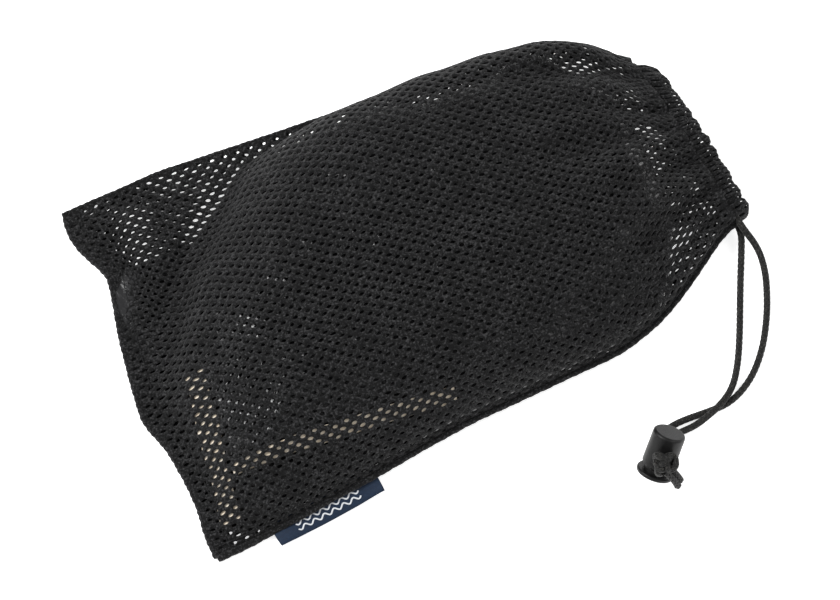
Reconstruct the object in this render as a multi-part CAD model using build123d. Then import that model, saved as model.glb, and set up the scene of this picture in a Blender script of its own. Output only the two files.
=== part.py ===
"""A packed mesh drawstring bag, lying on its lower face, with its drawcord, cord lock and side label.

+X runs along the bag to its gathered mouth, +Y across it and +Z up. The origin is the centre of the
bag's footprint on the surface that it lies on. Drawing coordinates below are measured from a point
CENTRE away from that origin, and place() moves every piece there when it is written.
"""
from build123d import *
import os
from math import cos, sin, pi, tan, radians

os.makedirs("parts", exist_ok=True)

# Driving dimensions, mm
CENTRE = (14.81, 2.4)
CLOTH = 1.0
SEAM_WIDTH = 9.0
SEAM_THICK = 2.6
END_X = -119.0
SIDE_ALLOWANCE = 2.4

# Bag sections along X: x, lower edge y, where the flat flap starts, upper edge y, height, edge height
SECTIONS = [
    (-110.0, -75.0, 10.0, 90.5, 3.8, 1.8),
    (-103.0, -75.0, 24.0, 91.0, 10.0, 2.2),
    (-91.0, -74.0, 38.0, 91.3, 20.0, 2.8),
    (-70.0, -72.0, 57.0, 91.3, 30.0, 3.8),
    (-41.0, -68.5, 79.0, 88.6, 36.5, 5.0),
    (0.0, -63.5, 79.5, 82.0, 40.5, 8.0),
    (40.0, -61.0, 79.5, 81.0, 41.0, 9.0),
    (75.0, -58.0, 79.5, 81.0, 38.5, 9.0),
    (98.0, -50.0, 75.5, 77.0, 35.0, 8.6),
    (117.0, -38.5, 64.5, 66.0, 29.0, 8.2),
    (135.0, -26.0, 44.5, 46.0, 20.8, 8.0),
]
DOME_POINTS = 9
DOME_POWER = 0.55

# Gathered mouth: the hem is a flat loop in a plane turned about Z
MOUTH_X = 135.0
MOUTH_SLANT = 0.137
HEM_WIDTH = 10.0
HEM_HALF = 2.4
TUNNEL_RADIUS = 1.7
HEM_LOOP = [(-25.0, 4.4), (-10.0, 2.7), (35.0, 2.7), (43.0, 6.5), (43.5, 12.0),
            (35.0, 17.6), (12.0, 18.4), (-10.0, 14.6), (-25.0, 10.2)]

# Drawcord
CORD_RADIUS = 1.4
EXIT_RUN = 4.0

# Cord lock, along its own axis from the centre of its cord hole
LOCK_CENTRE = Vector(69.8, -113.4, 15.5)
LOCK_AXIS = Vector(0.526, 0.435, 0.735).normalized()
CORD_WAY = Vector(-0.354, -0.675, 0.648)
BARREL_RADIUS = 7.0
BORE_RADIUS = 5.5
BARREL_TOP = 10.7
BARREL_MOUTH = -4.7
BARREL_CAP = 1.6
HOLE_WIDTH = 6.6
HOLE_HEIGHT = 6.3
HOLE_CORNER = 1.0
CORD_OFFSET = 1.6
CORD_GAP = 0.05
PLUNGER_RADIUS = 5.3
PLUNGER_TOP = 2.2
FLANGE_RADIUS = 8.0
FLANGE_TOP = -8.0
FLANGE_THICK = 1.8
SPRING_RADIUS = 3.4
SPRING_WIRE = 0.35
SPRING_TURNS = 4.5
KNOT_PLACE = (-1.0, 11.6, -0.4)
KNOT_ALONG = 4.2
KNOT_ACROSS = 4.8

# Packed contents
CONTENTS_GAP = 1.4
SPLIT_HEIGHT = 17.0
CARD_THICK = 1.2
CARD_FOOT = 4.5
END_STRIP = (-98.0, -37.0, 10.5, 57.0)
SIDE_STRIP = (-46.0, -55.0, 92.0, 6.0)
SIDE_STRIP_TURN = -4.0

# Label and thread
LABEL_LENGTH = 49.0
LABEL_PROUD = 10.5
LABEL_THICK = 0.9
STITCH = (2.2, 0.5, 0.4)
STITCH_PITCH = 3.2


def unit_across(vector, axis):
    """The part of vector that is square to axis, at unit length."""
    return (vector - axis * vector.dot(axis)).normalized()


CORD_WAY = unit_across(CORD_WAY, LOCK_AXIS)
LOCK_PLANE = Plane(origin=LOCK_CENTRE, x_dir=CORD_WAY.cross(LOCK_AXIS), z_dir=LOCK_AXIS)
MOUTH_NORMAL = Vector(1, MOUTH_SLANT, 0).normalized()
MOUTH_PLANE = Plane(origin=(MOUTH_X, 0, 0), x_dir=(-MOUTH_SLANT, 1, 0), z_dir=MOUTH_NORMAL)
CORD_LEVEL = -HOLE_HEIGHT / 2 + CORD_RADIUS + CORD_GAP


def in_lock(x, y, z):
    """A point given in the cord lock's own axes: across the cords, along them, along the barrel."""
    return LOCK_PLANE.from_local_coords(Vector(x, y, z))


def in_hem(u, v):
    """A point in the middle of the hem's width, given across the mouth and upwards."""
    return MOUTH_PLANE.from_local_coords(Vector(u, v, HEM_WIDTH / 2))


def place(shape, name):
    """Moves a piece from drawing coordinates to the row's frame and writes it."""
    export_step(shape.moved(Location((-CENTRE[0], -CENTRE[1], 0))), f"parts/{name}.step")


def slant(x):
    """How far a section leans: none along the bag, the mouth's own slant at the mouth."""
    start = SECTIONS[-3][0]
    return MOUTH_SLANT * max(0.0, (x - start) / (MOUTH_X - start))


def lean(x, points):
    return [Vector(x - slant(x) * y, y, z) for y, z in points]


def dome(section, inset):
    """Upper layer of one section, from its lower edge to its upper edge, moved inwards by inset."""
    x, y_low, y_flap, y_high, height, edge = section
    middle = (y_low + y_flap) / 2
    half = (y_flap - y_low) / 2 - inset
    base = edge + CLOTH - inset
    rise = max(height - edge - CLOTH, 0.3)
    points = []
    for step in range(DOME_POINTS):
        turn = pi - pi * step / (DOME_POINTS - 1)
        across = abs(cos(turn)) ** DOME_POWER * (1 if cos(turn) > 0 else -1)
        up = max(0.0, sin(turn)) ** DOME_POWER
        points.append((middle + half * across, base + rise * up))
    points.append((y_high - inset, base))
    return points


def keel(section, inset):
    """Lower layer of one section, from its upper edge to its lower edge."""
    x, y_low, y_flap, y_high, height, edge = section
    return [
        (y_high - inset, edge),
        (y_high - 3 - inset * 0.6, edge * 0.35 + inset * 0.6),
        (y_high - 12, inset),
        (y_low + 12, inset),
        (y_low + 3 + inset * 0.6, edge * 0.35 + inset * 0.6),
        (y_low + inset, edge),
    ]


def ruled(outlines):
    """A solid through flat closed outlines."""
    faces = [Face(Wire.make_polygon(points, close=True)) for points in outlines]
    return loft(faces, ruled=True)


def upper_layer():
    """The upper layer of cloth, standing on the lower layer's edges."""
    outlines = []
    for section in SECTIONS:
        edge = section[5]
        outer = [(section[1], edge), *dome(section, 0), (section[3], edge)]
        outlines.append(lean(section[0], outer + dome(section, CLOTH)[::-1]))
    return ruled(outlines)


def lower_layer():
    """The lower layer of cloth, flat on the ground but for its two edges."""
    outlines = [lean(s[0], keel(s, 0) + keel(s, CLOTH)[::-1]) for s in SECTIONS]
    return ruled(outlines)


def bottom_seam():
    """The turned seam allowance across the closed end, four layers pressed flat."""
    first = SECTIONS[0]
    width = first[3] - first[1] + SIDE_ALLOWANCE
    middle = Pos((END_X + first[0]) / 2, (first[1] + first[3]) / 2, SEAM_THICK / 2)
    return middle * Box(first[0] - END_X, width, SEAM_THICK)


def side_seam():
    """The side seam's allowance, along the label's edge of the bag."""
    outlines = []
    for section in SECTIONS:
        x, y_low, edge = section[0], section[1], section[5]
        low = max(edge - SEAM_THICK / 2, 0)
        high = low + SEAM_THICK
        outer = y_low - SIDE_ALLOWANCE
        outlines.append(lean(x, [(y_low, low), (y_low, high), (outer, high), (outer, low)]))
    return ruled(outlines)


def along_edge(x, index):
    """A section value at x, between the two nearest sections."""
    for a, b in zip(SECTIONS, SECTIONS[1:]):
        if a[0] <= x <= b[0]:
            share = (x - a[0]) / (b[0] - a[0])
            return a[index] + share * (b[index] - a[index])


def side_label():
    """Folded woven label, caught in the side seam and standing out of it."""
    outlines = []
    start = SECTIONS[2][0]
    for x in (start, SECTIONS[3][0], start + LABEL_LENGTH):
        root = along_edge(x, 1) - SIDE_ALLOWANCE
        low = along_edge(x, 5) - LABEL_THICK / 2
        tip = max(low - 1.2, 0.3)
        outlines.append(
            lean(x, [(root, low), (root, low + LABEL_THICK),
                     (root - LABEL_PROUD, tip + LABEL_THICK), (root - LABEL_PROUD, tip)])
        )
    return ruled(outlines)


def stitches(start, end):
    """A straight row of thread, as separate stitches lying on the cloth from start to end."""
    way = (end - start).normalized()
    across = Vector(0, 0, 1).cross(way).normalized()
    row = []
    for number in range(int((end - start).length // STITCH_PITCH)):
        origin = start + way * ((number + 0.5) * STITCH_PITCH)
        plane = Plane(origin=origin, x_dir=way, z_dir=way.cross(across))
        row.append(plane * Pos(0, 0, STITCH[2] / 2) * Box(*STITCH))
    return row


def bottom_stitching():
    first = SECTIONS[0]
    x = END_X + SEAM_WIDTH * 0.75
    ends = [Vector(x, first[1] + 1, SEAM_THICK), Vector(x, first[3] - 1, SEAM_THICK)]
    return Compound(stitches(*ends))


def side_stitching():
    row = []
    for a, b in zip(SECTIONS, SECTIONS[1:]):
        ends = []
        for section in (a, b):
            y = section[1] - SIDE_ALLOWANCE / 2
            top = max(section[5] - SEAM_THICK / 2, 0) + SEAM_THICK + 0.1
            ends.append(Vector(section[0] - slant(section[0]) * y, y, top))
        row += stitches(ends[0], ends[1])
    return Compound(row)


def hem_outline(amount):
    """The hem loop's outline in the mouth's plane, moved outwards by amount."""
    return offset(make_face(Polyline(*HEM_LOOP, close=True)), amount, kind=Kind.ARC)


def hem_route():
    """The cord's way round inside the hem, between its two ends at the label's side."""
    loop = HEM_LOOP
    ends = [(loop[0][0] - HEM_HALF, loop[0][1]), (loop[-1][0] - HEM_HALF, loop[-1][1])]
    return [in_hem(*p) for p in [ends[0], *loop[1:-1], ends[1]]]


def past(a, b, distance):
    """The point that lies distance beyond b on the line from a."""
    return b + (b - a).normalized() * distance


def arc_radii(points):
    """The radius at each corner of a cord's route: as large as its two runs allow."""
    radii = []
    for a, b, c in zip(points, points[1:], points[2:]):
        turn = radians((b - a).get_angle(c - b))
        shorter = min((b - a).length, (c - b).length)
        radii.append(0.45 * shorter / tan(turn / 2))
    return radii


def tube(points, radius, name, radii=None):
    """A round tube along straight runs joined by tangent arcs."""
    points = [Vector(*p) if isinstance(p, tuple) else p for p in points]
    radii = radii or arc_radii(points)
    path = FilletPolyline(*points, radius=radii)
    solid = sweep(Plane(origin=path @ 0, z_dir=path % 0) * Circle(radius), path=path)
    share = solid.volume / (pi * radius**2 * path.length)
    print(f"{name}: length {path.length:.1f}, smallest radius {min(radii):.1f}, volume {share:.3f}")
    return solid


def hem_channel():
    """The folded hem round the mouth, with the cord's tunnel in it."""
    band = extrude(MOUTH_PLANE * (hem_outline(HEM_HALF) - hem_outline(-HEM_HALF)), HEM_WIDTH)
    route = hem_route()
    ends = [past(route[1], route[0], 3), past(route[-2], route[-1], 3)]
    tunnel = tube([ends[0], *route[1:-1], ends[1]], TUNNEL_RADIUS, "tunnel", arc_radii(route))
    return band - tunnel


def hem_stitching():
    """Thread along the hem's free edge, on the mouth's upper face."""
    row = []
    top = [(u, v + HEM_HALF + 0.25) for u, v in HEM_LOOP[5:8]]
    for (u1, v1), (u2, v2) in zip(top, top[1:]):
        ends = [MOUTH_PLANE.from_local_coords(Vector(u, v, 1.2)) for u, v in ((u1, v1), (u2, v2))]
        row += stitches(ends[1], ends[0])
    return Compound(row)


def leg_end(side):
    """The last two points of a leg: where it straightens before the lock, and its end in the knot."""
    across = side * CORD_OFFSET
    return [in_lock(across, -15.0, CORD_LEVEL), in_lock(across, 9.0, CORD_LEVEL)]


LEG_A = [
    (140.1, -39.4, 4.4), (135.6, -48.6, 1.9), (130.4, -59.6, 1.45), (124.9, -71.5, 1.5),
    (118.8, -83.3, 1.45), (112.3, -92.8, 2.9), (105.5, -98.1, 4.5), (98.0, -101.2, 4.5),
    (90.6, -102.8, 2.6), (84.2, -102.7, 1.6), (78.7, -103.1, 2.4),
]
LEG_B = [
    (147.3, -40.6, 5.9), (146.2, -50.6, 3.1), (142.7, -60.2, 1.55), (138.0, -70.2, 1.45),
    (130.3, -82.6, 1.5), (120.3, -92.9, 1.45), (108.3, -99.0, 1.5), (96.2, -98.7, 1.45),
    (87.2, -98.2, 1.6), (80.4, -98.8, 1.7), (75.6, -100.7, 2.9),
]


def cord_knot():
    """The overhand knot of both legs, as one rounded solid."""
    plane = Plane(origin=in_lock(*KNOT_PLACE), x_dir=LOCK_AXIS, z_dir=CORD_WAY)
    return plane * scale(Sphere(1), by=(KNOT_ACROSS, KNOT_ACROSS, KNOT_ALONG))


def cord_tails():
    """Two short cut tails that hang out of the knot."""
    start = in_lock(KNOT_PLACE[0] - 1.5, KNOT_PLACE[1] + 1.5, KNOT_PLACE[2] - 1.0)
    spread = Vector(1.1, 1.2, 0)
    tails = []
    for side in (-1, 1):
        route = [
            start + spread * side * 1.0,
            start + Vector(3.2, -3.4, -4.0) + spread * side * 1.2,
            start + Vector(4.6, -4.6, -11.5) + spread * side * 1.4,
        ]
        tails.append(tube(route, CORD_RADIUS, "tail"))
    return Compound(tails)


def cord_hole(centre):
    """The slot that both cords pass through, square to the lock's axis."""
    outline = RectangleRounded(HOLE_WIDTH, HOLE_HEIGHT, HOLE_CORNER)
    return Pos(0, 0, centre) * (Plane.XZ * extrude(outline, 2 * BARREL_RADIUS, both=True))


def lock_barrel():
    length = BARREL_TOP - BARREL_MOUTH
    body = Pos(0, 0, BARREL_MOUTH) * Cylinder(
        BARREL_RADIUS, length, align=(Align.CENTER, Align.CENTER, Align.MIN)
    )
    body = fillet(body.edges().group_by(Axis.Z)[-1], 1.2)
    bore = Pos(0, 0, BARREL_MOUTH - 1) * Cylinder(
        BORE_RADIUS, length - BARREL_CAP + 1, align=(Align.CENTER, Align.CENTER, Align.MIN)
    )
    return LOCK_PLANE * (body - bore - cord_hole(0))


def lock_plunger():
    top_of_hole = CORD_LEVEL + CORD_RADIUS + CORD_GAP
    stem = Pos(0, 0, FLANGE_TOP - 0.5) * Cylinder(
        PLUNGER_RADIUS, PLUNGER_TOP - FLANGE_TOP + 0.5, align=(Align.CENTER, Align.CENTER, Align.MIN)
    )
    flange = Pos(0, 0, FLANGE_TOP - FLANGE_THICK) * Cylinder(
        FLANGE_RADIUS, FLANGE_THICK, align=(Align.CENTER, Align.CENTER, Align.MIN)
    )
    flange = fillet(flange.edges(), 0.6)
    return LOCK_PLANE * (stem + flange - cord_hole(top_of_hole - HOLE_HEIGHT / 2))


def lock_spring():
    """Coil spring between the barrel's closed end and the plunger."""
    low = PLUNGER_TOP + SPRING_WIRE + 0.02
    high = BARREL_TOP - BARREL_CAP - SPRING_WIRE - 0.02
    path = Helix(pitch=(high - low) / SPRING_TURNS, height=high - low, radius=SPRING_RADIUS)
    wire = sweep(Plane(origin=path @ 0, z_dir=path % 0) * Circle(SPRING_WIRE), path=path)
    return LOCK_PLANE * Pos(0, 0, low) * wire


def filling(inset):
    """The space inside the bag that its contents fill, moved inwards from the cloth by inset."""
    outlines = []
    for section in SECTIONS[1:-2]:
        x, y_low, y_flap = section[:3]
        upper = [(y, max(z, inset + 0.4)) for y, z in dome(section, inset)[:-1]]
        floor = [(y_flap - inset - 6, inset), (y_low + inset + 6, inset)]
        outlines.append(lean(x, upper + floor))
    return ruled(outlines)


def contents():
    """Dark wrapped contents in two stacked bundles, with pale card edges let into their surface."""
    inset = CLOTH + CONTENTS_GAP
    whole = filling(inset)
    skin = whole - filling(inset + CARD_THICK)
    tall = 50.0
    level = CARD_FOOT + tall / 2
    end_box = Box(END_STRIP[2], END_STRIP[3], tall)
    end = skin & Pos(END_STRIP[0], END_STRIP[1], level) * end_box
    side_box = Rot(0, 0, SIDE_STRIP_TURN) * Box(SIDE_STRIP[2], SIDE_STRIP[3], tall)
    side = skin & Pos(SIDE_STRIP[0], SIDE_STRIP[1], level) * side_box - end
    side = side.solids().sort_by(SortBy.VOLUME)[-1]
    dark = whole - end - side
    lower_half = Pos(0, 0, SPLIT_HEIGHT - 100) * Box(400, 300, 200)
    return {
        "packed_bundle_lower": dark & lower_half,
        "packed_bundle_upper": dark - Pos(0, 0, 0.1) * lower_half,
        "card_edge_end": end,
        "card_edge_side": side,
    }


if __name__ == "__main__":
    pieces = {
        "mesh_upper": upper_layer(),
        "mesh_lower": lower_layer(),
        "bottom_seam": bottom_seam(),
        "side_seam": side_seam(),
        "side_label": side_label(),
        "bottom_stitching": bottom_stitching(),
        "side_stitching": side_stitching(),
        "hem_channel": hem_channel(),
        "hem_stitching": hem_stitching(),
        "drawcord_in_hem": tube(hem_route(), CORD_RADIUS, "drawcord_in_hem"),
    }
    route = hem_route()
    start_a = [route[0], past(route[1], route[0], EXIT_RUN)]
    start_b = [route[-1], past(route[-2], route[-1], EXIT_RUN)]
    pieces["cord_leg_a"] = tube([*start_a, *LEG_A, *leg_end(-1)], CORD_RADIUS, "cord_leg_a")
    pieces["cord_leg_b"] = tube([*start_b, *LEG_B, *leg_end(1)], CORD_RADIUS, "cord_leg_b")
    pieces["cord_knot"] = cord_knot()
    pieces["cord_tails"] = cord_tails()
    pieces["lock_barrel"] = lock_barrel()
    pieces["lock_plunger"] = lock_plunger()
    pieces["lock_spring"] = lock_spring()
    pieces.update(contents())
    for name, piece in pieces.items():
        place(piece, name)
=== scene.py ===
"""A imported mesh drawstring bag: perforated knit cloth over dark contents, braided cord, lock and label."""
import math

import bpy
import numpy as np
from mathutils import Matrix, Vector


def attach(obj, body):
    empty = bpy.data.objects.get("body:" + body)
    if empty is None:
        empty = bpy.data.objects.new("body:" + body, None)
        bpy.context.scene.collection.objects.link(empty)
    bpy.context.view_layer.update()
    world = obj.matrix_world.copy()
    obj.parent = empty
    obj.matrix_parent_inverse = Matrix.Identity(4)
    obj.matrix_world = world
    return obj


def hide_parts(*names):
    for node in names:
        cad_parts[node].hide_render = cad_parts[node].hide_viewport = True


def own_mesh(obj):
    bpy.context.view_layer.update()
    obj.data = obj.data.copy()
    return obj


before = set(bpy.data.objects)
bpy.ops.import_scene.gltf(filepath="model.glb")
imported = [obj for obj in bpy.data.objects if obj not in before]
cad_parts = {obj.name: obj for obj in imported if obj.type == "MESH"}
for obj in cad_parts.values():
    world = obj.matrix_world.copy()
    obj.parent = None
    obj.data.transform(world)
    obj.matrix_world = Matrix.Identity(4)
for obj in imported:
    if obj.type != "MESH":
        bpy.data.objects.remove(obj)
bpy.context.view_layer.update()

MM = 0.001
TURN = 2 * math.pi

# The part's drawing coordinates, mm: the row frame starts at CENTRE
CENTRE = np.array([14.81, 2.4, 0.0])
# x, lower edge y, where the flat flap starts, upper edge y, height, edge height
SECTIONS = np.array([
    (-119.0, -76.6, 6.0, 92.0, 2.2, 1.2),
    (-110.0, -76.4, 10.0, 92.2, 4.0, 1.6),
    (-103.0, -76.2, 24.0, 92.3, 10.0, 2.0),
    (-91.0, -75.0, 38.0, 92.4, 20.0, 2.6),
    (-70.0, -72.7, 60.0, 93.0, 30.0, 3.6),
    (-41.0, -69.5, 81.0, 90.4, 36.5, 5.0),
    (0.0, -64.6, 84.3, 87.0, 40.5, 8.0),
    (40.0, -62.8, 82.6, 84.1, 41.0, 9.0),
    (75.0, -61.0, 81.5, 83.0, 38.5, 9.0),
    (98.0, -53.5, 79.4, 80.9, 35.5, 8.6),
    (117.0, -39.5, 74.0, 75.5, 30.5, 8.2),
    (127.0, -31.8, 66.0, 67.0, 26.5, 8.2),
    (134.0, -27.0, 59.0, 60.0, 22.0, 8.0),
    (139.0, -25.0, 54.5, 55.5, 20.5, 8.0),
])
CLOSED_X = -117.0
LEAN_START = 98.0
MOUTH_X = 136.5
MOUTH_SLANT = 0.137
HEM_WIDTH = 10.0
HEM_LOOP = [(-25.0, 7.3), (-25.0, 4.4), (-10.0, 2.7), (37.0, 2.7), (46.5, 6.5), (47.6, 9.4),
            (47.2, 12.6), (37.0, 17.8), (12.0, 18.4), (-10.0, 14.6), (-25.0, 10.2)]
HEM_FAR_CORNER = 5
HEM_OFFSET = 2.2
# The mouth's far side widens back from the hem's free edge by this much for each mm
HEM_FLARE = 0.015
# The closed end's edge, turned by how the cloth lies: y, x
CLOSED_EDGE = np.array([
    (-78.0, -116.4), (-66.0, -116.4), (-56.0, -114.6), (-40.0, -114.5), (-25.0, -116.0),
    (-9.0, -120.6), (9.0, -118.4), (27.0, -115.4), (47.0, -110.8), (59.0, -108.0),
    (67.0, -112.0), (76.0, -115.6), (85.0, -116.6), (92.0, -114.8),
])
EDGE_REACH = 26.0
# The cloth's middle comes no nearer to the floor, and its underside no nearer than the second
LOWEST = 0.5
FLOOR_GAP = 0.05
# The seam allowance's width, and the stitches' place inside it, height over the cloth and grid column
SEAM_WIDTH = 9.0
STITCH_INSET = 6.8
STITCH_LIFT = 0.4
STITCH_COLUMN = 8

# Knit: hole pitch along and across the cloth, the oval hole's half sizes, the cloth's half thickness
PITCH_U = 5.9
PITCH_V = 4.66
HOLE_U = 1.28
HOLE_V = 0.68
HOLE_SIDES = 10
# No hole's centre comes nearer to the cloth's edges
HOLE_BORDER = (2.1, 1.9)
CREST = 0.45
RIM = 0.2
FLAT_WIDTH = 177.0
LOWER_FLAT_WIDTH = 168.0
# The lower layer's holes are this much larger, so that the floor shows through both layers
LOWER_STRETCH = 1.3
# The hem's cloth round its fold and round the mouth
HEM_ROUND = 4 * PITCH_U
HEM_LONG = 72 * PITCH_V

# The contents' film: its first and last x, its underside, its gap over the lower layer, its flat far edge
FILM_START = -111.0
FILM_END = 119.0
FILM_BASE = 1.2
FILM_GAP = 0.9
FILM_REACH = 62.0

LABEL_START = -91.0
LABEL_LENGTH = 49.0
LABEL_PROUD = 10.5
LABEL_THICK = 0.8

CORD_RADIUS = 1.4
CORD_SIDES = 32
LOCK_CENTRE = np.array([69.8, -113.4, 15.5])
LOCK_AXIS = np.array([0.524396, 0.433674, 0.732759])
CORD_WAY = np.array([-0.351998, -0.673185, 0.650322])
LOCK_SIDE = np.cross(CORD_WAY, LOCK_AXIS)
# The coil spring's wire centre in the lock's axes, and how far the plunger is pressed
SPRING_RADIUS = 3.4
SPRING_WIRE = 0.35
SPRING_TURNS = 4.5
SPRING_LOW = 2.57
SPRING_HIGH = 8.73

CAMERA_AZIMUTH = -23.5
CAMERA_ELEVATION = 67.0
CAMERA_DISTANCE = 3.6
CAMERA_TARGET = (5.2, -9.2, 15.0)
CAMERA_WIDTH = 0.3528
SENSOR = 36.0


# -------- small tools

def to_frame(points):
    """Drawing coordinates in mm to the row frame in metres."""
    return (np.asarray(points, float) - CENTRE) * MM


def in_lock(x, y, z):
    """A place given in the cord lock's own axes, in drawing coordinates."""
    return LOCK_CENTRE + LOCK_SIDE * x + CORD_WAY * y + LOCK_AXIS * z


def ramp(x, start, end):
    """0 before start, 1 after end, smooth in between."""
    t = np.clip((np.asarray(x, float) - start) / (end - start), 0, 1)
    return t * t * (3 - 2 * t)


def blur(values, width, wrap=False):
    """Gaussian smoothing along the first axis, width in samples, with the ends kept in place."""
    reach = int(math.ceil(width * 3))
    if reach < 1:
        return values
    kernel = np.exp(-0.5 * (np.arange(-reach, reach + 1) / width) ** 2)
    kernel /= kernel.sum()
    pad = [(reach, reach)] + [(0, 0)] * (values.ndim - 1)
    if wrap:
        padded = np.pad(values, pad, mode="wrap")
    else:
        padded = np.pad(values, pad, mode="reflect", reflect_type="odd")
    return sum(k * padded[i:i + len(values)] for i, k in enumerate(kernel))


def between(table, i, j, k, l, f, g):
    """A table's value between rows i and k and columns j and l, at the shares f and g."""
    low = table[i, j] * (1 - g) + table[i, l] * g
    high = table[k, j] * (1 - g) + table[k, l] * g
    return low * (1 - f) + high * f


def noise(a, b, size, seed):
    """Smooth random waves from -1 to 1 over a plane, about size apart."""
    lattice = np.random.default_rng(seed).uniform(-1, 1, (96, 96))
    a, b = np.asarray(a, float) / size + 200, np.asarray(b, float) / size + 200
    i, j = np.floor(a).astype(int), np.floor(b).astype(int)
    f, g = ramp(a - i, 0, 1), ramp(b - j, 0, 1)
    return between(lattice, i % 96, j % 96, (i + 1) % 96, (j + 1) % 96, f, g)


def distances(points):
    """The distance along a line to each of its points."""
    return np.concatenate([[0], np.linalg.norm(np.diff(points, axis=0), axis=1).cumsum()])


def resample(points, count):
    """The same line with count points spaced evenly along its length."""
    far = distances(points)
    at = np.linspace(0, far[-1], count)
    return np.stack([np.interp(at, far, points[:, k]) for k in range(points.shape[1])], 1)


def add_object(name, data):
    """A new object in the scene that shows the data."""
    thing = bpy.data.objects.new(name, data)
    bpy.context.scene.collection.objects.link(thing)
    return thing


def mesh_piece(name, vertices, faces, material, body="bag", uv=None):
    """A mesh object from points in the row frame, riding on a body."""
    mesh = bpy.data.meshes.new(name)
    mesh.from_pydata(np.asarray(vertices, np.float32), [], faces)
    if uv is not None:
        layer = mesh.uv_layers.new(name="cloth")
        corners = np.zeros(len(mesh.loops), np.int32)
        mesh.loops.foreach_get("vertex_index", corners)
        layer.data.foreach_set("uv", np.asarray(uv, np.float32)[corners].ravel())
    mesh.materials.append(material)
    mesh.polygons.foreach_set("use_smooth", np.ones(len(mesh.polygons), bool))
    mesh.update()
    piece = add_object(name, mesh)
    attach(piece, body)
    return piece


def grid_faces(rows, columns, wrap_columns=False):
    """Quads between the points of a grid stored row by row."""
    j = np.arange(columns if wrap_columns else columns - 1)
    i, j = np.meshgrid(np.arange(rows - 1), j, indexing="ij")
    k, l = (i + 1) % rows, (j + 1) % columns
    quads = np.stack([i * columns + j, k * columns + j, k * columns + l, i * columns + l], -1)
    return quads.reshape(-1, 4)


def normals(grid, wrap=False):
    """Unit normals of a surface grid, by the differences between its points."""
    if wrap:
        along = np.roll(grid, -1, 0) - np.roll(grid, 1, 0)
        across = np.roll(grid, -1, 1) - np.roll(grid, 1, 1)
    else:
        along = np.gradient(grid, axis=0)
        across = np.gradient(grid, axis=1)
    n = np.cross(along, across)
    return n / np.maximum(np.linalg.norm(n, axis=2, keepdims=True), 1e-9)


def sampler(grid, flat, wrap=False):
    """A function from flat cloth coordinates and a height above the cloth to points, mm."""
    up = normals(grid, wrap)
    rows, columns = grid.shape[:2]

    def look(u, v, height):
        if wrap:
            a, b = (u / flat[0] % 1) * rows, (v / flat[1] % 1) * columns
            i, j = np.minimum(a.astype(int), rows - 1), np.minimum(b.astype(int), columns - 1)
        else:
            a, b = np.clip(u / flat[0], 0, 1) * (rows - 1), np.clip(v / flat[1], 0, 1) * (columns - 1)
            i, j = np.minimum(a.astype(int), rows - 2), np.minimum(b.astype(int), columns - 2)
        f, g = (a - i)[:, None], (b - j)[:, None]
        where = (i, j, (i + 1) % rows, (j + 1) % columns, f, g)
        return between(grid, *where) + between(up, *where) * np.broadcast_to(height, u.shape)[:, None]

    return look


# -------- knit cloth

def ring_fill(corners, rim):
    """Triangles between a cell's corners and its hole's rim, as (kind, index) by angle."""
    n, m = len(corners), len(rim)
    outer = np.unwrap(np.arctan2(corners[:, 1], corners[:, 0]))
    inner = np.unwrap(np.arctan2(rim[:, 1], rim[:, 0]))
    triangles = []
    i = j = 0
    while i < n or j < m:
        next_outer = outer[i + 1] if i + 1 < n else outer[0] + TURN
        next_inner = inner[j + 1] if j + 1 < m else inner[0] + TURN
        if j >= m or (i < n and next_outer <= next_inner):
            triangles.append((i % n, (i + 1) % n, n + j % m))
            i += 1
        else:
            triangles.append((i % n, n + (j + 1) % m, n + j % m))
            j += 1
    return np.array(triangles)


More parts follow.
